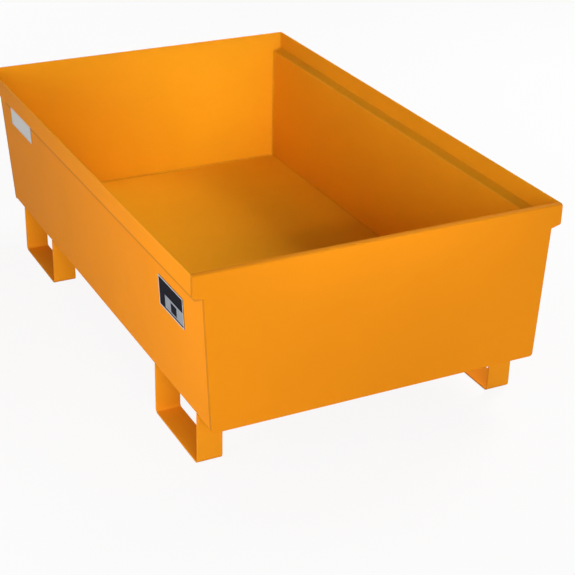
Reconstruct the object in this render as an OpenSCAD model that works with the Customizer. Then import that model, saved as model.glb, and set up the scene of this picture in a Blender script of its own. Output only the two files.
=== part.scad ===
// Spill pan welded from sheet steel: an open trough with a stepped rim on four bent-strip feet.
// X runs across the width, Y from the front panel to the rear panel, and +Z is up.
// The origin lies on the ground, under the middle of the whole pan.

/* [Trough] */
// Outer width across the two lips
lip_w = 800; // [600:1:1200]
// Height from the underside of the floor to the top of the lips
pan_h = 333; // [220:1:500]
// Height of the lips, from the underside of the ledges beside them
lip_h = 44; // [24:1:90]
// Width of the ledge that carries each lip
ledge_w = 22; // [14:0.5:60]
// How far each ledge falls from its lip towards the trough
ledge_fall = 6; // [0:0.5:12]
// How far each side wall leans in from its ledge to the floor
wall_lean = 14.5; // [2:0.5:60]
// Length of the floor, from the front face to the foot of the rear panel
floor_l = 1226; // [800:1:2000]
// How far the top of the rear panel stands behind its foot
rear_lean = 37; // [0:1:100]
// Thickness of the sheet
sheet = 3; // [2:0.5:5]
// Inside radius of the bends in the sheet
bend_r = 1; // [1:0.5:6]
// Depth of the folded top edge of the front panel
hem = 12; // [8:0.5:24]
// Radius of the top corners of the end panels
corner_r = 4; // [1:0.5:8]
// How far the end panels reach below the underside of the floor
panel_drop = 4; // [0:0.5:8]
// Radius of the bottom corners of the end panels
panel_r = 6.5; // [4:0.5:10]

/* [Feet] */
// Height of the feet, from the ground to the underside of the floor
foot_h = 115; // [60:1:180]
// Length of a foot over both its legs
foot_l = 217; // [120:1:300]
// Width of the strip that a foot is bent from
foot_w = 54; // [30:1:100]
// Thickness of that strip
foot_t = 4; // [3:0.5:10]
// Inside radius of its bends
foot_bend_r = 6; // [2:0.5:20]
// Distance from each end of the floor to the nearest leg
foot_inset = 71; // [20:1:160]
// Distance from the side edge of the floor to the outer side of a foot
foot_edge = 0.5; // [0:0.5:60]

/* [Welds] */
// Leg length of the seam welds inside the trough
seam_leg = 3; // [2:0.5:6]
// Leg length of the fillet welds at the feet
foot_weld_leg = 5; // [2:0.5:8]

/* [Labels] */
// Thickness of both label plates
label_t = 1; // [0.6:0.1:2]
// Corner radius of both label plates
label_r = 3; // [1:0.5:8]
// Length of the front label
front_label_l = 121; // [60:1:200]
// Height of the front label
front_label_h = 66; // [30:1:90]
// Distance from the front face to the front label
front_label_inset = 104; // [20:1:300]
// Distance from the top of the wall down to the front label
front_label_drop = 49; // [6:1:90]
// Length of the rear label
rear_label_l = 152; // [60:1:200]
// Height of the rear label
rear_label_h = 46; // [20:1:90]
// Distance from the rear end of the floor to the rear label
rear_label_inset = 58; // [20:1:300]
// Distance from the top of the wall down to the rear label
rear_label_drop = 18; // [6:1:90]

/* [Hidden] */

paint = "#F1901C";
label_ink = "#26262E";
label_metal = "#C4C6C8";

// Straight steps in each rounded corner
corner_steps = 6;
// Least radius of a rounded corner
least_r = 0.2;
// How far a cutting shape reaches past what it cuts
past = 1;
// Room at each end of the folded top edge, between the lips
hem_gap = 0.5;

LEFT = -1;
RIGHT = 1;

// Underside of the ledges, beside the lips and beside the walls
rim_z = pan_h - lip_h;
wall_h = rim_z - ledge_fall;
wall_top_w = lip_w - 2 * ledge_w;
floor_w = wall_top_w - 2 * wall_lean;
total_l = floor_l + rear_lean;
wall_slope = wall_lean / wall_h;
wall_angle = atan(wall_slope);
wall_slope_h = norm([wall_lean, wall_h]);
rear_slope = rear_lean / pan_h;
front_foot_y = foot_inset;
rear_foot_y = floor_l - foot_inset - foot_l;

// Outside of the right half of the trough, from the top of its lip to the floor
right_side = [
    [lip_w / 2, pan_h],
    [lip_w / 2, rim_z],
    [wall_top_w / 2, wall_h],
    [floor_w / 2, 0]
];
// The same half of the end panels, which reach a little below the floor
panel_side = [
    [lip_w / 2, pan_h],
    [lip_w / 2, rim_z],
    [wall_top_w / 2, wall_h],
    [floor_w / 2 - panel_drop * wall_slope, -panel_drop]
];
// The same half of the trough without the top of its lip, which the seam welds stop short of
welded_side = [
    [lip_w / 2, pan_h - hem],
    [lip_w / 2, rim_z],
    [wall_top_w / 2, wall_h],
    [floor_w / 2, 0]
];
// Outside of a foot, down one leg and up the other
foot_path = [[0, foot_h], [0, 0], [foot_l, 0], [foot_l, foot_h]];
// Outside of the front panel, from the end of its folded edge down its face
front_path = [[hem, pan_h], [0, pan_h], [0, -panel_drop - past]];

function reversed(list) = [for (i = [len(list) - 1 : -1 : 0]) list[i]];
function unit(v) = v / norm(v);
function left_of(v) = [-v[1], v[0]];
function turned(v, angle) =
    [v[0] * cos(angle) - v[1] * sin(angle), v[0] * sin(angle) + v[1] * cos(angle)];

// Path across the whole trough from its right half, starting at the left
function both_sides(half) = concat([for (p = half) [-p[0], p[1]]], reversed(half));

// Path moved to its left by d, with mitred corners
function beside(path, d) = [
    for (i = [0 : len(path) - 1])
        let (
            into = max(i, 1),
            out = min(i + 1, len(path) - 1),
            before = left_of(unit(path[into] - path[into - 1])),
            after = left_of(unit(path[out] - path[out - 1]))
        )
        path[i] + (before + after) * d / (1 + before * after)
];

function turns_left(a, b, c) = cross(b - a, c - b) > 0;

// Arc of radius r in the corner b of a path that comes from a and goes on to c
function arc(a, b, c, r) =
    let (
        to_a = unit(a - b),
        to_c = unit(c - b),
        half = acos(to_a * to_c) / 2,
        centre = b + unit(to_a + to_c) * r / sin(half),
        start = b + to_a * r / tan(half) - centre,
        sweep = (turns_left(a, b, c) ? 1 : -1) * (180 - 2 * half)
    )
    [for (k = [0 : corner_steps]) centre + turned(start, sweep * k / corner_steps)];

// Path with its corners rounded, to one radius at left turns and another at right turns
function rounded(path, left_r, right_r) = [
    for (i = [0 : len(path) - 1])
        let (a = path[i - 1], b = path[i], c = path[i + 1])
        each a == undef || c == undef ? [b] : arc(a, b, c, turns_left(a, b, c) ? left_r : right_r)
];

// Line in a bent sheet of thickness t with inside radius r, d to the left of the sheet's right face
function layer(path, d, t, r) =
    rounded(beside(path, d), max(r + t - d, least_r), max(r + d, least_r));

// Rectangle with round corners
function round_rectangle(l, h, r) =
    let (p = [[0, 0], [l, 0], [l, h], [0, h]])
    [for (i = [0 : 3]) each arc(p[(i + 3) % 4], p[i], p[(i + 1) % 4], r)];

// Outline of both end panels: round the right half from the top to the bottom, and back round the left
function end_outline() =
    let (
        path = concat([[0, pan_h]], panel_side, [[0, -panel_drop]]),
        radii = [corner_r, bend_r + sheet, bend_r, panel_r],
        half = [for (i = [0 : len(radii) - 1]) each arc(path[i], path[i + 1], path[i + 2], radii[i])]
    )
    concat(half, reversed([for (p = half) [-p[0], p[1]]]));

// Outer and inner face of the rear panel at the height z
function rear_outside(z) = floor_l + z * rear_slope;
function rear_inside(z) = rear_outside(z) - sheet * norm([1, rear_slope]);

function foot_x(side) = side * (floor_w / 2 - foot_edge - foot_w / 2);

// Moves a shape from the pan's front edge and underside to its place above the ground
module on_feet() {
    translate([0, -total_l / 2, foot_h]) children();
}

// Draws a shape in the x, z plane out along y
module along_y(from, to) {
    translate([0, to, 0]) rotate([90, 0, 0]) linear_extrude(to - from) children();
}

// Draws a shape in the y, z plane out along x
module along_x(from, to) {
    translate([from, 0, 0]) rotate([90, 0, 90]) linear_extrude(to - from) children();
}

// Cross-section of a bent sheet, with its thickness to the left of the path
module bent_sheet(path, t, r) {
    polygon(concat(layer(path, 0, t, r), reversed(layer(path, t, t, r))));
}

// Bead of three-cornered section that runs through three lists of points
module bead(corner_line, first_foot, second_foot) {
    count = len(corner_line);
    last = count - 1;
    sides = [[0, 1], [1, 2], [2, 0]];
    points = concat(corner_line, first_foot, second_foot);
    walls = [
        for (i = [0 : last - 1], s = sides)
            let (
                p = s[0] * count + i,
                q = s[1] * count + i
            )
            each [[p, q, q + 1], [p, q + 1, p + 1]]
    ];
    ends = [[0, 2 * count, count], [last, count + last, 2 * count + last]];
    polyhedron(points, concat(walls, ends));
}

module trough_shell() {
    color(paint) on_feet() difference() {
        along_y(sheet, total_l + past) bent_sheet(both_sides(right_side), sheet, bend_r);
        along_x(-lip_w, lip_w) polygon([
            [rear_inside(-past), -past],
            [total_l + 2 * past, -past],
            [total_l + 2 * past, pan_h + past],
            [rear_inside(pan_h + past), pan_h + past]
        ]);
    }
}

module front_panel() {
    between_lips = lip_w / 2 - sheet - hem_gap;
    color(paint) on_feet() intersection() {
        along_x(-lip_w, lip_w) bent_sheet(front_path, sheet, bend_r);
        union() {
            along_y(-past, sheet) polygon(end_outline());
            along_y(sheet, hem + past) polygon([
                [-between_lips, rim_z + sheet],
                [between_lips, rim_z + sheet],
                [between_lips, pan_h + past],
                [-between_lips, pan_h + past]
            ]);
        }
    }
}

module rear_panel() {
    color(paint) on_feet() intersection() {
        along_y(rear_inside(-panel_drop) - past, total_l + past) polygon(end_outline());
        along_x(-lip_w, lip_w) polygon([
            [rear_inside(-panel_drop - past), -panel_drop - past],
            [rear_outside(-panel_drop - past), -panel_drop - past],
            [rear_outside(pan_h + past), pan_h + past],
            [rear_inside(pan_h + past), pan_h + past]
        ]);
    }
}

// One strip bent into a U, with its first leg at y
module foot(side, y) {
    color(paint) translate([foot_x(side), y - total_l / 2, 0])
        along_x(-foot_w / 2, foot_w / 2) bent_sheet(foot_path, foot_t, foot_bend_r);
}

// Fillets between the legs of a foot and the underside of the floor, on both faces of each leg
module foot_weld(side, y) {
    // Outer end of the fillets: the side of the foot, or the start of the bend in the floor
    outer = floor_w / 2 - max(foot_edge, bend_r + sheet);
    inner = floor_w / 2 - foot_edge - foot_w;
    leg_faces = [[0, -1], [foot_t, 1], [foot_l - foot_t, -1], [foot_l, 1]];
    color(paint) translate([0, y - total_l / 2, foot_h])
        for (face = leg_faces)
            along_x(min(side * inner, side * outer), max(side * inner, side * outer))
                polygon([
                    [face[0], 0],
                    [face[0] + face[1] * foot_weld_leg, 0],
                    [face[0], -foot_weld_leg]
                ]);
}

module front_left_foot() {
    foot(LEFT, front_foot_y);
}

module front_right_foot() {
    foot(RIGHT, front_foot_y);
}

module rear_left_foot() {
    foot(LEFT, rear_foot_y);
}

module rear_right_foot() {
    foot(RIGHT, rear_foot_y);
}

module front_left_foot_weld() {
    foot_weld(LEFT, front_foot_y);
}

module front_right_foot_weld() {
    foot_weld(RIGHT, front_foot_y);
}

module rear_left_foot_weld() {
    foot_weld(LEFT, rear_foot_y);
}

module rear_right_foot_weld() {
    foot_weld(RIGHT, rear_foot_y);
}

module front_seam_weld() {
    on_sheet = layer(both_sides(welded_side), sheet, sheet, bend_r);
    on_panel = layer(both_sides(welded_side), sheet + seam_leg, sheet, bend_r);
    color(paint) on_feet() bead(
        [for (p = on_sheet) [p[0], sheet, p[1]]],
        [for (p = on_sheet) [p[0], sheet + seam_leg, p[1]]],
        [for (p = on_panel) [p[0], sheet, p[1]]]
    );
}

module rear_seam_weld() {
    on_sheet = layer(both_sides(welded_side), sheet, sheet, bend_r);
    on_panel = layer(both_sides(welded_side), sheet + seam_leg, sheet, bend_r);
    color(paint) on_feet() bead(
        [for (p = on_sheet) [p[0], rear_inside(p[1]), p[1]]],
        [for (p = on_panel) [p[0], rear_inside(p[1]), p[1]]],
        [for (p = on_sheet) [p[0], rear_inside(p[1]) - seam_leg, p[1]]]
    );
}

// Plate on the outside of the left wall, with its near edge at y and its top a drop below the wall's top
module wall_plate(l, h, y, drop) {
    on_feet() translate([-floor_w / 2, y + l, 0]) rotate([0, -wall_angle, 0])
        rotate([0, 0, -90]) rotate([90, 0, 0])
            linear_extrude(label_t)
                translate([0, wall_slope_h - drop - h]) polygon(round_rectangle(l, h, label_r));
}

module front_label() {
    color(label_ink)
        wall_plate(front_label_l, front_label_h, front_label_inset, front_label_drop);
}

module rear_label() {
    color(label_metal)
        wall_plate(
            rear_label_l, rear_label_h, floor_l - rear_label_inset - rear_label_l, rear_label_drop
        );
}

trough_shell();
front_panel();
rear_panel();
front_left_foot();
front_right_foot();
rear_left_foot();
rear_right_foot();
front_seam_weld();
rear_seam_weld();
front_left_foot_weld();
front_right_foot_weld();
rear_left_foot_weld();
rear_right_foot_weld();
front_label();
rear_label();
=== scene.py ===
"""Looks of a sheet-steel spill pan: painted plates, weld beads and bare labels in a pale studio."""
import math
from collections import namedtuple

import bmesh
import bpy
from mathutils import Matrix, Vector


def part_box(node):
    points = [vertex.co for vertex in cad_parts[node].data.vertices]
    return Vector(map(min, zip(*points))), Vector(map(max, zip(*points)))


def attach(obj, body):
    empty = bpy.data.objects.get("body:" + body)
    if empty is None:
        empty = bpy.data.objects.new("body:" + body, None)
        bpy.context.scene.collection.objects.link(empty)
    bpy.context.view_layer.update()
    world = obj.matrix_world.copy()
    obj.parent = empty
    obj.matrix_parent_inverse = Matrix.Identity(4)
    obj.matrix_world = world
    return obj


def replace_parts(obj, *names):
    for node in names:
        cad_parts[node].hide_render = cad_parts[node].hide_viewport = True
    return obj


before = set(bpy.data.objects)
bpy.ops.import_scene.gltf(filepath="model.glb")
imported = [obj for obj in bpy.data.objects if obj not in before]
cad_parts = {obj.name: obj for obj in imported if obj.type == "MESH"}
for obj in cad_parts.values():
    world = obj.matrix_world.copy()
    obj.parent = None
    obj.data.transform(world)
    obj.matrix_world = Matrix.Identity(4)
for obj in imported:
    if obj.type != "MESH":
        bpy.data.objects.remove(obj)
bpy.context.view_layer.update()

MM = 0.001
BODY = "root"
FEET = ("front_left_foot", "front_right_foot", "rear_left_foot", "rear_right_foot")

TO_FRONT = Vector((0, -1, 0))
TO_REAR = Vector((0, 1, 0))
TO_LEFT = Vector((-1, 0, 0))
DOWN = Vector((0, 0, -1))

# Camera: where it looks, from which side, and how far away it stands
AIM = Vector((-0.126, -0.466, 0.2945))
AZIMUTH = math.radians(-27.09)
ELEVATION = math.radians(26.585)
ROLL = math.radians(1.285)
DISTANCE = 2.919
LENS_MM = 92.44
SENSOR_MM = 36.0

# Lamps: what each shines at; its bearing (0 is the front, 90 the right), its height and the spread
# of its beam in degrees; its distance and size in metres; and its watts
Lamp = namedtuple("Lamp", "name target bearing height distance size spread watts")
PAN_MIDDLE = Vector((0, 0, 0.3))
FRONT_LEFT = Vector((-0.1, -0.4, 0.3))
REAR_WALL = Vector((0.2, 0.6, 0.22))
LAMPS = (
    Lamp("front", PAN_MIDDLE, bearing=-15, height=15, distance=6, size=2.4, spread=180, watts=160),
    Lamp("left", FRONT_LEFT, bearing=-75, height=12, distance=1.6, size=0.7, spread=180, watts=11),
    Lamp("right", PAN_MIDDLE, bearing=105, height=40, distance=3.6, size=1.4, spread=180, watts=84),
    Lamp("rear", PAN_MIDDLE, bearing=190, height=6, distance=3.6, size=1.4, spread=180, watts=30),
    Lamp("rear_wall", REAR_WALL, bearing=-10, height=22, distance=4.2, size=0.5, spread=10,
         watts=0.4),
)

# Strength of the even light from all round
AMBIENT = 0.2

# Ground: half its width, its height just below the soles, and the share of white that it shows
FLOOR_REACH = 14
FLOOR_Z = -0.2 * MM
FLOOR_SHOWN_WHITE = 0.9
FLOOR_COLOUR = (0.8, 0.8, 0.8)

# Rounding of cut edges, and the least angle that counts as an edge
EDGE_ROUND = 0.7 * MM
LABEL_ROUND = 0.3 * MM
EDGE_SEGMENTS = 2
EDGE_ANGLE = math.radians(32)

# Before rounding, corners this close are joined, and faces that meet this flat become one
JOIN_REACH = 0.01 * MM
FLAT_ANGLE = math.radians(0.5)

# Least share of a face's direction along a line for it to look that way, and to be level
FACING_LEAST = 0.9
LEVEL_LEAST = 0.99

# Weld beads: their ripples, how far in radians a ripple bows ahead, the crown of a section, the step
# from one section to the next, and the points across one
RIPPLE_PITCH = 4.2 * MM
RIPPLE_HEIGHT = 0.25 * MM
RIPPLE_BOW = 1.6
BEAD_CROWN = 0.4 * MM
BEAD_STEP = 0.8 * MM
BEAD_POINTS = 7

# Where a seam bends: the steps looked at to each side, the least turn that counts, and the share of
# the bend's radius that a leg may have
BEND_STEPS = 3
BEND_TURN = 0.05
BEND_SHARE = 0.8

# How close a vertex lies to the far side of a seam weld to be on its edge, and how many digits of
# its place count
SEAM_EDGE_REACH = 0.05 * MM
PLACE_DIGITS = 6

# Lines of painted shade in the paint, partly dark joints at the seams: their tone, which the painted
# corner shade shares, how far they reach from a seam and below a ledge, and over what distance they
# fade
SHADE_LINE_TONE = 0.72
SEAM_LINE = 5 * MM
SEAM_FADE = 1.5 * MM
LEDGE_LINE = 29 * MM
LINE_FADE = 3 * MM

# How far from an end panel the painted shadow below a ledge reaches all its depth
LEDGE_LINE_FULL = 43 * MM

# Share of a node's height above which the ledges lie
UPPER_HALF = 0.5

# Share of the lines' tone on the top of a panel's fold and on the ledges, painted shade on faces
# that look up
FOLD_SHARE = 0.5
LEDGE_SHARE = 0.3

# Span of a face's upward share over which it comes to count as level, and of its sideways share as
# a side edge
LEVEL_SPAN = (0.3, 0.7)
SIDE_SPAN = (0.5, 0.9)

# Place times direction along Y, below which an end panel's face looks into the trough
PANEL_INWARD = -0.1

# The coat outside, and yellower copies of it on the feet and inside the trough: painted light that
# offsets the redder light bounced between the plates
PAINT_COLOUR = (0.885, 0.293, 0.009)
FOOT_OFFSET_COLOUR = (0.885, 0.325, 0.013)
INSIDE_OFFSET_COLOUR = (0.885, 0.385, 0.013)

# Noise: blotches to a metre, and detail
Grain = namedtuple("Grain", "per_metre detail")

# Clouds of tone in the paint
CLOUDS = Grain(5, 3)
CLOUD_SPAN = (0.3, 0.7)
CLOUD_TONE = 0.96

# Gloss of the paint
GLOSS = Grain(38, 4)
GLOSS_SPAN = (0.25, 0.75)
PAINT_ROUGHNESS = (0.46, 0.56)
PAINT_SPECULAR = 0.02

# Waves in the sheet, and orange peel in the paint, which is stronger on the welds
WAVES = Grain(9, 1)
WAVE_DEPTH = 0.4 * MM
WAVE_STRENGTH = 0.2
PEEL = Grain(420, 2)
PEEL_DEPTH = 0.08 * MM
PLATE_PEEL = 0.12
WELD_PEEL = 0.2
# The welds' coat is darker, painted shade on the beads' lit faces
WELD_PAINTED_SHADE = 0.9

# Painted shade in corners: how far it reaches, and the span of openness over which it fades
CORNER_REACH = 6 * MM
CORNER_SAMPLES = 8
CORNER_SPAN = (0.4, 0.85)

# Printed film: its colours, its scuffs, which are flatter in colour and rougher, and its grain
FILM_COLOUR = (0.01, 0.01, 0.015)
PRINT_COLOUR = (0.32, 0.35, 0.39)
PALE_EDGE_COLOUR = (0.6, 0.65, 0.71)
SCUFFS = Grain(160, 5)
SCUFF_SPAN = (0.45, 0.75)
SCUFF_SHADE = 0.92
SCUFF_LIFT = 0.006
FILM_ROUGHNESS = (0.58, 0.7)
FILM_GRAIN = Grain(900, 1)
FILM_DEPTH = 0.03 * MM
FILM_STRENGTH = 0.2
FILM_SPECULAR = 0.01

# Brushed metal: streaks along Y
METAL_COLOUR = (0.46, 0.46, 0.45)
STREAK_STRETCH = (900, 12, 900)
STREAKS = Grain(1, 3)
STREAK_SPAN = (0.2, 0.8)
STREAK_SHADES = (0.86, 1.1)
METAL_ROUGHNESS = (0.3, 0.46)
STREAK_DEPTH = 0.02 * MM
STREAK_STRENGTH = 0.3

# Print: its height above a label, its border, the gap between its rows, and the bare fields on the
# front label as shares of the label's length and height
PRINT_RISE = 0.15 * MM
BORDER_INSET = 0.4 * MM
BORDER_WIDTH = 2 * MM
RULE_GAP = 0.6 * MM
PALE_FIELDS = ((0.25, 0.1, 0.48, 0.53), (0.72, 0.1, 0.98, 0.53))
PALE_BARS = ((0.48, 0.46, 0.72, 0.53), (0.48, 0.1, 0.72, 0.15))
FIELD_ROWS = 5
BAR_ROWS = 1


# Shader nodes

def emptied_tree(owner):
    """The node tree of a material or world, emptied."""
    owner.use_nodes = True
    owner.node_tree.nodes.clear()
    return owner.node_tree


def new_material(name):
    """A node material with its tree and its shader."""
    material = bpy.data.materials.new(name)
    tree = emptied_tree(material)
    output = tree.nodes.new("ShaderNodeOutputMaterial")
    shader = tree.nodes.new("ShaderNodeBsdfPrincipled")
    tree.links.new(shader.outputs["BSDF"], output.inputs["Surface"])
    return material, tree, shader


def object_place(tree, scale=(1, 1, 1)):
    """The place of a point on its object, in metres, stretched along each axis."""
    coordinates = tree.nodes.new("ShaderNodeTexCoord")
    mapping = tree.nodes.new("ShaderNodeMapping")
    mapping.inputs["Scale"].default_value = scale
    tree.links.new(coordinates.outputs["Object"], mapping.inputs["Vector"])
    return mapping.outputs["Vector"]


def surface_normal(tree):
    """The direction that a point of the surface faces."""
    return tree.nodes.new("ShaderNodeNewGeometry").outputs["Normal"]


def part_of(tree, vector, axis):
    """One coordinate of a vector."""
    node = tree.nodes.new("ShaderNodeSeparateXYZ")
    tree.links.new(vector, node.inputs["Vector"])
    return node.outputs[axis]


def maths(tree, operation, first, second=None):
    """A sum on one or two values, each a number or a socket."""
    node = tree.nodes.new("ShaderNodeMath")
    node.operation = operation
    for socket, value in zip(node.inputs, (first, second)):
        if isinstance(value, (int, float)):
            socket.default_value = value
        elif value is not None:
            tree.links.new(value, socket)
    return node.outputs["Value"]


def distance_from(tree, place, point, direction):
    """How far a place lies from a plane, along the plane's direction."""
    node = tree.nodes.new("ShaderNodeVectorMath")
    node.operation = "DOT_PRODUCT"
    node.inputs[1].default_value = direction
    tree.links.new(place, node.inputs[0])
    return maths(tree, "SUBTRACT", node.outputs["Value"], point.dot(direction))


def noise(tree, vector, grain):
    """Cloudy noise from 0 to 1."""
    node = tree.nodes.new("ShaderNodeTexNoise")
    node.inputs["Scale"].default_value = grain.per_metre
    node.inputs["Detail"].default_value = grain.detail
    tree.links.new(vector, node.inputs["Vector"])
    return node.outputs["Fac"]


def remap(tree, value, span, to=(0, 1)):
    """Takes a value from one span to another, and holds it there."""
    node = tree.nodes.new("ShaderNodeMapRange")
    for socket, number in zip(node.inputs[1:5], (*span, *to)):
        socket.default_value = number
    tree.links.new(value, node.inputs["Value"])
    return node.outputs["Result"]


def mix_colours(tree, factor, first, second, blend="MIX"):
    """Blends two colours, each a triple or a socket."""
    node = tree.nodes.new("ShaderNodeMix")
    node.data_type = "RGBA"
    node.blend_type = blend
    tree.links.new(factor, node.inputs["Factor"])
    for name, colour in (("A", first), ("B", second)):
        socket = next(s for s in node.inputs if s.name == name and s.type == "RGBA")
        if isinstance(colour, tuple):
            socket.default_value = (*colour, 1)
        else:
            tree.links.new(colour, socket)
    return next(s for s in node.outputs if s.type == "RGBA")


def bump(tree, height, depth, strength, under=None):
    """Turns a height from 0 to 1 into a normal, over another bump if there is one."""
    node = tree.nodes.new("ShaderNodeBump")
    node.inputs["Distance"].default_value = depth
    node.inputs["Strength"].default_value = strength
    tree.links.new(height, node.inputs["Height"])
    if under is not None:
        tree.links.new(under, node.inputs["Normal"])
    return node.outputs["Normal"]


def shade(colour, factor):
    """A colour times a factor."""
    return tuple(channel * factor for channel in colour)


def grey(tone):
    """A grey of one tone."""
    return tone, tone, tone


# Materials

def outward(tree, place, axis):
    """Place times direction along an axis, above zero where a face looks away from the middle."""
    facing = part_of(tree, surface_normal(tree), axis)
    return maths(tree, "MULTIPLY", part_of(tree, place, axis), facing)


def trough_inside(tree, place):
    """Marks the trough's faces that look up, or towards the middle of the pan."""
    up = part_of(tree, surface_normal(tree), "Z")
    return maths(tree, "GREATER_THAN", up, outward(tree, place, "X"))


def panel_inside(tree, place):
    """Marks the end panels' faces that look into the trough."""
    return maths(tree, "LESS_THAN", outward(tree, place, "Y"), PANEL_INWARD)


def level_faces(tree, share):
    """Marks the faces that look up, by a share."""
    return remap(tree, part_of(tree, surface_normal(tree), "Z"), LEVEL_SPAN, (0, share))


def panel_shade_lines(tree, _place):
    """Marks the side cut edges of an end panel, a dark joint partly painted shade, and painted shade
    on the top of its fold.
    """
    sideways = maths(tree, "ABSOLUTE", part_of(tree, surface_normal(tree), "X"))
    fold = level_faces(tree, FOLD_SHARE)
    return maths(tree, "MAXIMUM", remap(tree, sideways, SIDE_SPAN), fold)


def panel_distance(tree, place):
    """Distance from the nearer end panel."""
    distances = []
    for panel, towards in (("front_panel", TO_REAR), ("rear_panel", TO_FRONT)):
        point, direction = largest_face(panel, towards)
        distances.append(distance_from(tree, place, point, direction))
    return maths(tree, "MINIMUM", *distances)


def trough_shade_lines(tree, place):
    """Marks painted shade: at the trough's end seams, partly dark joints; on its level rim; and
    shadow on its walls' outside below the ledges.
    """
    outside = maths(tree, "GREATER_THAN", outward(tree, place, "X"), 0)
    to_panel = panel_distance(tree, place)
    at_seam = remap(tree, to_panel, (SEAM_LINE, SEAM_LINE + SEAM_FADE), (1, 0))
    seams = maths(tree, "MULTIPLY", at_seam, outside)
    ledge_z = largest_face("trough_shell", DOWN, above=UPPER_HALF)[0].z
    below = maths(tree, "SUBTRACT", ledge_z, part_of(tree, place, "Z"))
    # Painted shade on level faces no lower than the lines reach, which are the rim's; the floor lies
    # below them
    at_rim = maths(tree, "LESS_THAN", below, LEDGE_LINE)
    rim = maths(tree, "MULTIPLY", level_faces(tree, LEDGE_SHARE), at_rim)
    # Painted shadow of the ledge on the walls' outside, shallower close to the end panels
    depth = remap(tree, to_panel, (0, LEDGE_LINE_FULL), (SEAM_LINE, LEDGE_LINE))
    close = remap(tree, maths(tree, "SUBTRACT", below, depth), (0, LINE_FADE), (1, 0))
    under = maths(tree, "MULTIPLY", outside, maths(tree, "GREATER_THAN", below, 0))
    walls = maths(tree, "MULTIPLY", under, close)
    return maths(tree, "MAXIMUM", maths(tree, "MAXIMUM", seams, walls), rim)


def painted_corner_shade(tree):
    """Marks painted shade in the corners where plates meet."""
    corner = tree.nodes.new("ShaderNodeAmbientOcclusion")
    corner.samples = CORNER_SAMPLES
    corner.inputs["Distance"].default_value = CORNER_REACH
    return remap(tree, corner.outputs["AO"], CORNER_SPAN, (1, 0))


def paint_material(name, peel, colour=PAINT_COLOUR, inside=None, lines=None):
    """Even coat with faint clouds of tone and orange peel, with painted shade in corners and along
    lines.
    """
    material, tree, shader = new_material(name)
    place = object_place(tree)
    coat = colour
    # A yellower copy of the coat on inner faces, painted light that offsets the red of bounced light
    if inside:
        coat = mix_colours(tree, inside(tree, place), colour, INSIDE_OFFSET_COLOUR)
    clouds = remap(tree, noise(tree, place, CLOUDS), CLOUD_SPAN)
    coat = mix_colours(tree, clouds, coat, grey(CLOUD_TONE), "MULTIPLY")
    # Painted shade in corners and along lines
    dark = painted_corner_shade(tree)
    if lines:
        dark = maths(tree, "MAXIMUM", dark, lines(tree, place))
    coat = mix_colours(tree, dark, coat, grey(SHADE_LINE_TONE), "MULTIPLY")
    tree.links.new(coat, shader.inputs["Base Color"])
    roughness = remap(tree, noise(tree, place, GLOSS), GLOSS_SPAN, PAINT_ROUGHNESS)
    tree.links.new(roughness, shader.inputs["Roughness"])
    waves = bump(tree, noise(tree, place, WAVES), WAVE_DEPTH, WAVE_STRENGTH)
    grain = bump(tree, noise(tree, place, PEEL), PEEL_DEPTH, peel, waves)
    tree.links.new(grain, shader.inputs["Normal"])
    shader.inputs["Specular IOR Level"].default_value = PAINT_SPECULAR
    return material


def film_material(name, colour):
    """Printed plastic film: even colour with faint scuffs."""
    material, tree, shader = new_material(name)
    place = object_place(tree)
    scuff = remap(tree, noise(tree, place, SCUFFS), SCUFF_SPAN)
    scuffed = tuple(SCUFF_SHADE * channel + SCUFF_LIFT for channel in colour)
    tree.links.new(mix_colours(tree, scuff, colour, scuffed), shader.inputs["Base Color"])
    tree.links.new(remap(tree, scuff, (0, 1), FILM_ROUGHNESS), shader.inputs["Roughness"])
    grain = bump(tree, noise(tree, place, FILM_GRAIN), FILM_DEPTH, FILM_STRENGTH)
    tree.links.new(grain, shader.inputs["Normal"])
    shader.inputs["Specular IOR Level"].default_value = FILM_SPECULAR
    return material


def metal_material(name):
    """Brushed plate with streaks along its length."""
    material, tree, shader = new_material(name)
    streaks = noise(tree, object_place(tree, STREAK_STRETCH), STREAKS)
    dark, light = (shade(METAL_COLOUR, factor) for factor in STREAK_SHADES)
    tree.links.new(mix_colours(tree, streaks, dark, light), shader.inputs["Base Color"])
    tree.links.new(remap(tree, streaks, STREAK_SPAN, METAL_ROUGHNESS), shader.inputs["Roughness"])
    tree.links.new(bump(tree, streaks, STREAK_DEPTH, STREAK_STRENGTH), shader.inputs["Normal"])
    shader.inputs["Metallic"].default_value = 1
    return material


# Meshes

def geometry_group(name):
    """An empty group of geometry nodes with one way in and one way out."""
    group = bpy.data.node_groups.new(name, "GeometryNodeTree")
    group.interface.new_socket("Geometry", in_out="INPUT", socket_type="NodeSocketGeometry")
    group.interface.new_socket("Geometry", in_out="OUTPUT", socket_type="NodeSocketGeometry")
    given = group.nodes.new("NodeGroupInput").outputs[0]
    made = group.nodes.new("NodeGroupOutput").inputs[0]
    return group, given, made


def joining_group():
    """Geometry nodes that join a mesh's split corners again."""
    group, given, made = geometry_group("joined_corners")
    plain = group.nodes.new("GeometryNodeRemoveAttribute")
    plain.inputs["Name"].default_value = "custom_normal"
    merge = group.nodes.new("GeometryNodeMergeByDistance")
    merge.inputs["Distance"].default_value = JOIN_REACH
    group.links.new(given, plain.inputs["Geometry"])
    group.links.new(plain.outputs["Geometry"], merge.inputs["Geometry"])
    group.links.new(merge.outputs["Geometry"], made)
    return group


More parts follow.
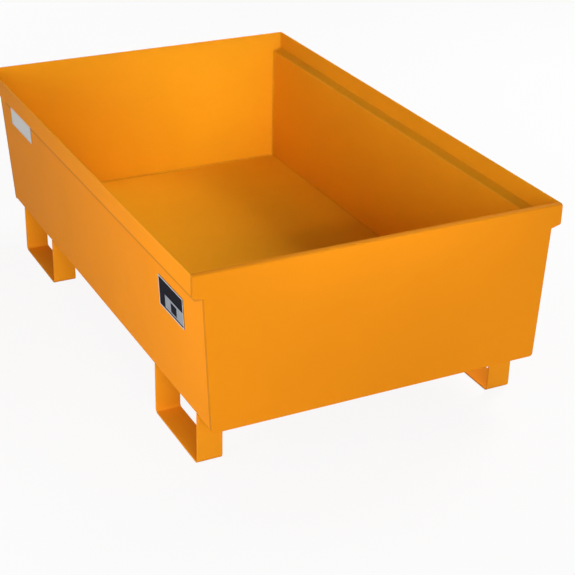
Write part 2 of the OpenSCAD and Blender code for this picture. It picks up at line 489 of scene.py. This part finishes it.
def smoothing_group():
    """Geometry nodes that shade a mesh smooth, with sharp lines at its edges."""
    group, given, made = geometry_group("smooth_to_the_edges")
    faces = group.nodes.new("GeometryNodeSetShadeSmooth")
    edges = group.nodes.new("GeometryNodeSetShadeSmooth")
    edges.domain = "EDGE"
    angle = group.nodes.new("GeometryNodeInputMeshEdgeAngle")
    small = group.nodes.new("FunctionNodeCompare")
    small.operation = "LESS_THAN"
    small.inputs["B"].default_value = EDGE_ANGLE
    group.links.new(given, faces.inputs["Geometry"])
    group.links.new(faces.outputs["Geometry"], edges.inputs["Geometry"])
    group.links.new(angle.outputs["Unsigned Angle"], small.inputs["A"])
    group.links.new(small.outputs["Result"], edges.inputs["Shade Smooth"])
    group.links.new(edges.outputs["Geometry"], made)
    return group


def soften(node, width, joined, smooth):
    """Rounds a plate's cut edges and shades its bends smooth."""
    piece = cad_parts[node]
    piece.modifiers.new("joined", "NODES").node_group = joined
    flat = piece.modifiers.new("flat", "DECIMATE")
    flat.decimate_type = "DISSOLVE"
    flat.angle_limit = FLAT_ANGLE
    edge = piece.modifiers.new("edge", "BEVEL")
    edge.width = width
    edge.segments = EDGE_SEGMENTS
    edge.limit_method = "ANGLE"
    edge.angle_limit = EDGE_ANGLE
    piece.modifiers.new("smooth", "NODES").node_group = smooth
    even = piece.modifiers.new("even", "WEIGHTED_NORMAL")
    even.keep_sharp = True


def paint_node(node, material):
    """Gives a CAD node its material."""
    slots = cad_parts[node].data.materials
    slots.clear()
    slots.append(material)


def new_object(name, data):
    """A new object in the scene."""
    made = bpy.data.objects.new(name, data)
    bpy.context.scene.collection.objects.link(made)
    return made


def new_piece(name, mesh, material):
    """A new piece that rides on the pan and takes its finish from a slot."""
    data = bpy.data.meshes.new(name)
    mesh.to_mesh(data)
    mesh.free()
    data.materials.append(material)
    piece = new_object(name, data)
    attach(piece, BODY)
    return piece


def largest_face(node, towards, above=0.0):
    """Centre and direction of the largest face that looks one way, above a share of the height."""
    low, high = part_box(node)
    least_z = low.z + (high.z - low.z) * above
    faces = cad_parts[node].data.polygons
    facing = [f for f in faces if f.normal.dot(towards) > FACING_LEAST and f.center.z >= least_z]
    largest = max(facing, key=lambda f: f.area)
    return largest.center.copy(), largest.normal.copy()


# Weld beads

def resampled(points, step):
    """Points along a line at an even distance."""
    spaced = [points[0]]
    for a, b in zip(points, points[1:]):
        count = max(1, round((b - a).length / step))
        spaced += [a.lerp(b, (i + 1) / count) for i in range(count)]
    return spaced


def bead_section(corner, first, second, leg, travelled):
    """Ring of points round a fillet: its corner, then across its rippled face."""
    ring = [corner]
    bulge = (first + second).normalized()
    for i in range(BEAD_POINTS):
        across = i / (BEAD_POINTS - 1)
        arch = math.sin(math.pi * across)
        phase = 2 * math.pi * travelled / RIPPLE_PITCH + RIPPLE_BOW * arch
        crown = arch * (BEAD_CROWN + RIPPLE_HEIGHT * math.sin(phase))
        ring.append(corner + (first * (1 - across) + second * across) * leg + bulge * crown)
    return ring


def add_bead(mesh, corners, firsts, seconds, legs):
    """Sweeps a rippled fillet along a line of corners."""
    rings = []
    travelled = 0
    for i, corner in enumerate(corners):
        travelled += (corner - corners[i - 1]).length if i else 0
        section = bead_section(corner, firsts[i], seconds[i], legs[i], travelled)
        rings.append([mesh.verts.new(p) for p in section])
    count = len(rings[0])
    for ring, after in zip(rings, rings[1:]):
        for i in range(count):
            j = (i + 1) % count
            mesh.faces.new((ring[i], ring[j], after[j], after[i]))
    mesh.faces.new(rings[0])
    mesh.faces.new(rings[-1])


def turn_outwards(mesh):
    """Turns a mesh's faces outwards."""
    bmesh.ops.recalc_face_normals(mesh, faces=mesh.faces)


def smooth_strips(mesh):
    """Shades a bead smooth along its length, and its two ends flat."""
    for face in mesh.faces:
        face.smooth = len(face.verts) == 4


def seam_path():
    """Line along the inside of the trough that both seams follow, in the x, z plane."""
    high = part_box("front_seam_weld")[1]
    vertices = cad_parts["front_seam_weld"].data.vertices
    far_edge = {
        (round(v.co.x, PLACE_DIGITS), round(v.co.z, PLACE_DIGITS))
        for v in vertices
        if high.y - v.co.y < SEAM_EDGE_REACH
    }
    # From left to right, in the order in which they are seen from just above the middle of the rim
    eye_z = high.z + MM
    return [Vector(p) for p in sorted(far_edge, key=lambda p: math.atan2(p[0], eye_z - p[1]))]


def inward_normals(path):
    """Directions square to a path, towards the middle of the trough."""
    normals = []
    for i in range(len(path)):
        along = (path[min(i + 1, len(path) - 1)] - path[max(i - 1, 0)]).normalized()
        normals.append(Vector((-along.y, along.x)))
    return normals


def bead_legs(path, normals, leg):
    """Leg length along a path, drawn in where the path bends more tightly than a leg."""
    legs = []
    for i in range(len(path)):
        a, b = max(i - BEND_STEPS, 0), min(i + BEND_STEPS, len(path) - 1)
        run = (path[b] - path[a]).length
        top_run = (path[b] + normals[b] * leg - path[a] - normals[a] * leg).length
        turn = (normals[b] - normals[a]).length
        tight = turn > BEND_TURN and top_run < run
        legs.append(min(leg, BEND_SHARE * run / turn) if tight else leg)
    return legs


def seam_bead(name, node, panel, into_trough, material):
    """Fillet all along the joint between the trough and an end panel."""
    # Both seams have the same leg, and the rear one's box also holds its panel's lean
    low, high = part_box("front_seam_weld")
    leg = high.y - low.y
    path = resampled(seam_path(), BEAD_STEP)
    normals = inward_normals(path)
    point, facing = largest_face(panel, into_trough)

    def on_panel(p):
        y = point.y - ((p.x - point.x) * facing.x + (p.y - point.z) * facing.z) / facing.y
        return Vector((p.x, y, p.y))

    corners = [on_panel(p) for p in path]
    inwards = [(on_panel(p + n * leg) - on_panel(p)).normalized() for p, n in zip(path, normals)]
    mesh = bmesh.new()
    add_bead(mesh, corners, [into_trough] * len(path), inwards, bead_legs(path, normals, leg))
    turn_outwards(mesh)
    smooth_strips(mesh)
    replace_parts(new_piece(name, mesh, material), node)


def strip_thickness(foot):
    """Thickness of the strip that a foot is bent from: its sole, from the ground up."""
    low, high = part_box(foot)
    middle = (low.z + high.z) / 2
    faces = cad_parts[foot].data.polygons
    soles = [f for f in faces if f.normal.z > LEVEL_LEAST and f.center.z < middle]
    return max(soles, key=lambda f: f.area).center.z - low.z


def foot_beads(foot, material):
    """Fillets between a foot's legs and the floor, on both faces of each leg."""
    low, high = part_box(foot + "_weld")
    leg = high.z - low.z
    foot_low, foot_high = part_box(foot)
    thickness = strip_thickness(foot)
    leg_faces = (
        (foot_low.y, TO_FRONT),
        (foot_low.y + thickness, TO_REAR),
        (foot_high.y - thickness, TO_FRONT),
        (foot_high.y, TO_REAR),
    )
    mesh = bmesh.new()
    for y, away in leg_faces:
        ends = [Vector((low.x, y, high.z)), Vector((high.x, y, high.z))]
        corners = resampled(ends, BEAD_STEP)
        count = len(corners)
        add_bead(mesh, corners, [away] * count, [DOWN] * count, [leg] * count)
    turn_outwards(mesh)
    smooth_strips(mesh)
    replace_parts(new_piece(foot + "_beads", mesh, material), foot + "_weld")


# Labels

# A label's lower left corner as it is read, its right, up and outward directions, and its size
LabelFace = namedtuple("LabelFace", "origin right up normal length height")


def label_face(node):
    """The outer face of a label on the left wall."""
    centre, normal = largest_face(node, TO_LEFT)
    low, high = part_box(node)
    up = normal.cross(TO_FRONT)
    size = high - low
    # The plate leans, so its box holds shares of its height and its thickness along both X and Z
    height = (size.z * up.z - size.x * abs(up.x)) / (up.z ** 2 - up.x ** 2)
    plate_middle = (low + high) / 2
    middle = plate_middle + normal * (centre - plate_middle).dot(normal)
    origin = middle - TO_FRONT * size.y / 2 - up * height / 2
    return LabelFace(origin, TO_FRONT, up, normal, size.y, height)


def add_patch(mesh, face, x0, y0, x1, y1):
    """Thin printed patch on a label, between two corners in metres."""
    square = [(x0, y0), (x1, y0), (x1, y1), (x0, y1)]
    base = [mesh.verts.new(face.origin + face.right * x + face.up * y) for x, y in square]
    top = [mesh.verts.new(v.co + face.normal * PRINT_RISE) for v in base]
    mesh.faces.new(base)
    mesh.faces.new(top)
    for i in range(4):
        j = (i + 1) % 4
        mesh.faces.new((base[i], base[j], top[j], top[i]))


def add_border(mesh, face):
    """Printed frame inside a label's edge."""
    length, height = face.length, face.height
    near, far = BORDER_INSET, BORDER_INSET + BORDER_WIDTH
    add_patch(mesh, face, near, near, length - near, far)
    add_patch(mesh, face, near, height - far, length - near, height - near)
    add_patch(mesh, face, near, far, far, height - far)
    add_patch(mesh, face, length - far, far, length - near, height - far)


def add_field(mesh, face, share, rows):
    """Bare printed field in rows, with a thin gap above each."""
    x0, y0, x1, y1 = share
    step = (y1 - y0) * face.height / rows
    for row in range(rows):
        start = y0 * face.height + row * step
        add_patch(mesh, face, x0 * face.length, start, x1 * face.length, start + step - RULE_GAP)


def build_labels(joined, smooth):
    """Two bare labels with pale borders: a dark film with blank fields, and a plain metal plate."""
    film = film_material("label_film", FILM_COLOUR)
    metal = metal_material("label_metal")
    pale = film_material("label_print", PRINT_COLOUR)
    pale_edge = film_material("label_edge", PALE_EDGE_COLOUR)
    for node, material in (("front_label", film), ("rear_label", metal)):
        paint_node(node, material)
        soften(node, LABEL_ROUND, joined, smooth)
    face = label_face("front_label")
    mesh = bmesh.new()
    for share in PALE_FIELDS:
        add_field(mesh, face, share, FIELD_ROWS)
    for share in PALE_BARS:
        add_field(mesh, face, share, BAR_ROWS)
    turn_outwards(mesh)
    new_piece("front_label_print", mesh, pale)
    for node in ("front_label", "rear_label"):
        mesh = bmesh.new()
        add_border(mesh, label_face(node))
        turn_outwards(mesh)
        new_piece(node + "_border", mesh, pale_edge)


def build_pan(joined, smooth):
    """Paint and rounded edges of the plates, and the beads between them."""
    trough_paint = paint_material(
        "trough_paint", PLATE_PEEL, inside=trough_inside, lines=trough_shade_lines
    )
    panel_paint = paint_material("panel_paint", PLATE_PEEL, inside=panel_inside, lines=panel_shade_lines)
    # The feet take a yellower copy of the coat, painted light that offsets the red of bounced light
    foot_paint = paint_material("foot_paint", PLATE_PEEL, FOOT_OFFSET_COLOUR)
    # The beads' coat is darker, painted shade on their lit faces
    weld_paint = paint_material("weld_paint", WELD_PEEL, shade(FOOT_OFFSET_COLOUR, WELD_PAINTED_SHADE))
    seam_paint = paint_material("seam_paint", WELD_PEEL, shade(INSIDE_OFFSET_COLOUR, WELD_PAINTED_SHADE))
    painted = [("trough_shell", trough_paint)]
    painted += [(panel, panel_paint) for panel in ("front_panel", "rear_panel")]
    painted += [(foot, foot_paint) for foot in FEET]
    for node, material in painted:
        paint_node(node, material)
        soften(node, EDGE_ROUND, joined, smooth)
    seam_bead("front_seam_bead", "front_seam_weld", "front_panel", TO_REAR, seam_paint)
    seam_bead("rear_seam_bead", "rear_seam_weld", "rear_panel", TO_FRONT, seam_paint)
    for foot in FEET:
        foot_beads(foot, weld_paint)


# Studio

def shown_rays(tree):
    """1 for rays that show a surface to the camera, straight or by way of gloss or glass."""
    path = tree.nodes.new("ShaderNodeLightPath")
    seen = maths(tree, "MAXIMUM", path.outputs["Is Camera Ray"], path.outputs["Is Glossy Ray"])
    return maths(tree, "MAXIMUM", seen, path.outputs["Is Transmission Ray"])


def ground_material():
    """Matt ground that takes the pan's shadow, and shows mostly white."""
    material = bpy.data.materials.new("ground")
    tree = emptied_tree(material)
    output = tree.nodes.new("ShaderNodeOutputMaterial")
    blend = tree.nodes.new("ShaderNodeMixShader")
    matte = tree.nodes.new("ShaderNodeBsdfDiffuse")
    matte.inputs["Color"].default_value = (*FLOOR_COLOUR, 1)
    white = tree.nodes.new("ShaderNodeEmission")
    whiteness = maths(tree, "MULTIPLY", shown_rays(tree), FLOOR_SHOWN_WHITE)
    tree.links.new(whiteness, blend.inputs["Fac"])
    tree.links.new(matte.outputs["BSDF"], blend.inputs[1])
    tree.links.new(white.outputs["Emission"], blend.inputs[2])
    tree.links.new(blend.outputs["Shader"], output.inputs["Surface"])
    return material


def build_floor():
    """Wide ground below the pan."""
    mesh = bpy.data.meshes.new("ground")
    signs = ((-1, -1), (1, -1), (1, 1), (-1, 1))
    corners = [(x * FLOOR_REACH, y * FLOOR_REACH, FLOOR_Z) for x, y in signs]
    mesh.from_pydata(corners, [], [range(len(corners))])
    mesh.materials.append(ground_material())
    ground = new_object("ground", mesh)


def build_world():
    """Even light from all round, and white behind the pan."""
    world = bpy.data.worlds.new("studio")
    bpy.context.scene.world = world
    tree = emptied_tree(world)
    output = tree.nodes.new("ShaderNodeOutputWorld")
    background = tree.nodes.new("ShaderNodeBackground")
    background.inputs["Color"].default_value = (1, 1, 1, 1)
    strength = remap(tree, shown_rays(tree), (0, 1), (AMBIENT, 1))
    tree.links.new(strength, background.inputs["Strength"])
    tree.links.new(background.outputs["Background"], output.inputs["Surface"])


def from_bearing(bearing, height, distance):
    """Place at a bearing and height angle, as seen from what the lamps and the camera look at."""
    level = distance * math.cos(height)
    rise = distance * math.sin(height)
    return Vector((level * math.sin(bearing), -level * math.cos(bearing), rise))


def build_lamps():
    """Soft square lamps round the pan, and a narrow one that reaches its rear wall."""
    for lamp in LAMPS:
        data = bpy.data.lights.new(lamp.name, "AREA")
        data.shape = "SQUARE"
        data.size = lamp.size
        data.spread = math.radians(lamp.spread)
        data.energy = lamp.watts
        offset = from_bearing(math.radians(lamp.bearing), math.radians(lamp.height), lamp.distance)
        made = new_object(lamp.name, data)
        made.location = lamp.target + offset
        made.rotation_euler = offset.to_track_quat("Z", "Y").to_euler()


def build_camera():
    """Camera at the photograph's viewing angle."""
    back = from_bearing(AZIMUTH, ELEVATION, 1)
    right = Vector((math.cos(AZIMUTH), math.sin(AZIMUTH), 0))
    turn = Matrix((right, back.cross(right), back)).transposed() @ Matrix.Rotation(ROLL, 3, "Z")
    data = bpy.data.cameras.new("camera")
    data.lens = LENS_MM
    data.sensor_width = SENSOR_MM
    camera = new_object("camera", data)
    camera.matrix_world = Matrix.Translation(AIM + back * DISTANCE) @ turn.to_4x4()
    bpy.context.scene.camera = camera


joined = joining_group()
smooth = smoothing_group()
build_camera()
build_pan(joined, smooth)
build_labels(joined, smooth)
build_floor()
build_world()
build_lamps()
bpy.context.scene.view_settings.view_transform = "Standard"
